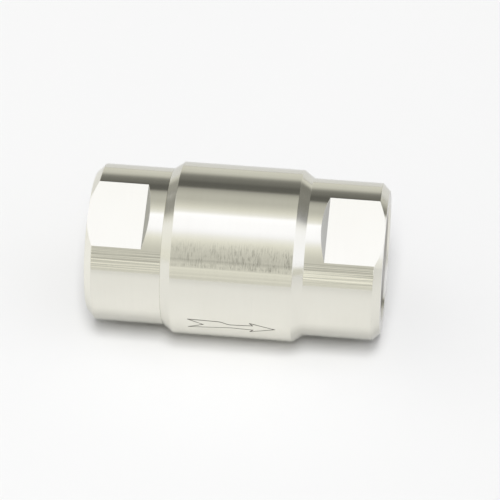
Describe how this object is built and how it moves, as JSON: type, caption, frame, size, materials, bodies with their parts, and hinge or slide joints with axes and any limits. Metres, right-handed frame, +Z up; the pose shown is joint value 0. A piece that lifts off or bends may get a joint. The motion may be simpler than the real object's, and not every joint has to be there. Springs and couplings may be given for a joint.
{
  "type": "check valve",
  "caption": "Round stainless in-line check valve: sprung poppet on a guided stem inside a screwed housing with female pipe threads, wrench flats and an engraved flow arrow.",
  "frame": {"origin": "centre of the valve: on the flow axis, halfway between the two end faces", "axes": "+X along the flow, from inlet to outlet; +Z up with the valve lying on its barrel, the flow arrow towards -Y"},
  "size_m": [0.085, 0.05, 0.05],
  "materials": {
    "housing_steel": "fine turned, bright",
    "inner_steel": "turned",
    "spring_steel": "drawn wire and stamped strip, bright",
    "seal_polymer": "white fluoropolymer, matte",
    "bush_polymer": "filled bearing polymer, matte",
    "rubber": "smooth moulded"
  },
  "bodies": {
    "housing": {"inlet_cap": "housing_steel", "valve_body": "housing_steel", "body_o_ring": "rubber", "stem_guide": "inner_steel", "guide_bush": "bush_polymer", "guide_circlip": "spring_steel", "spring_seat": "inner_steel", "return_spring": "spring_steel"},
    "poppet": {"poppet_stem": "inner_steel", "poppet_disc": "inner_steel", "seat_seal": "seal_polymer", "seal_retainer": "inner_steel", "lock_washer": "spring_steel", "retainer_nut": "inner_steel", "stem_clip": "spring_steel"}
  },
  "joints": [
    {"name": "poppet_lift", "type": "slide", "parent": "housing", "child": "poppet", "axis": [1, 0, 0], "range_m": [0, 0.006], "stiffness_N_per_m": 750, "springref_m": -0.002, "deforming": ["return_spring"]}
  ]
}
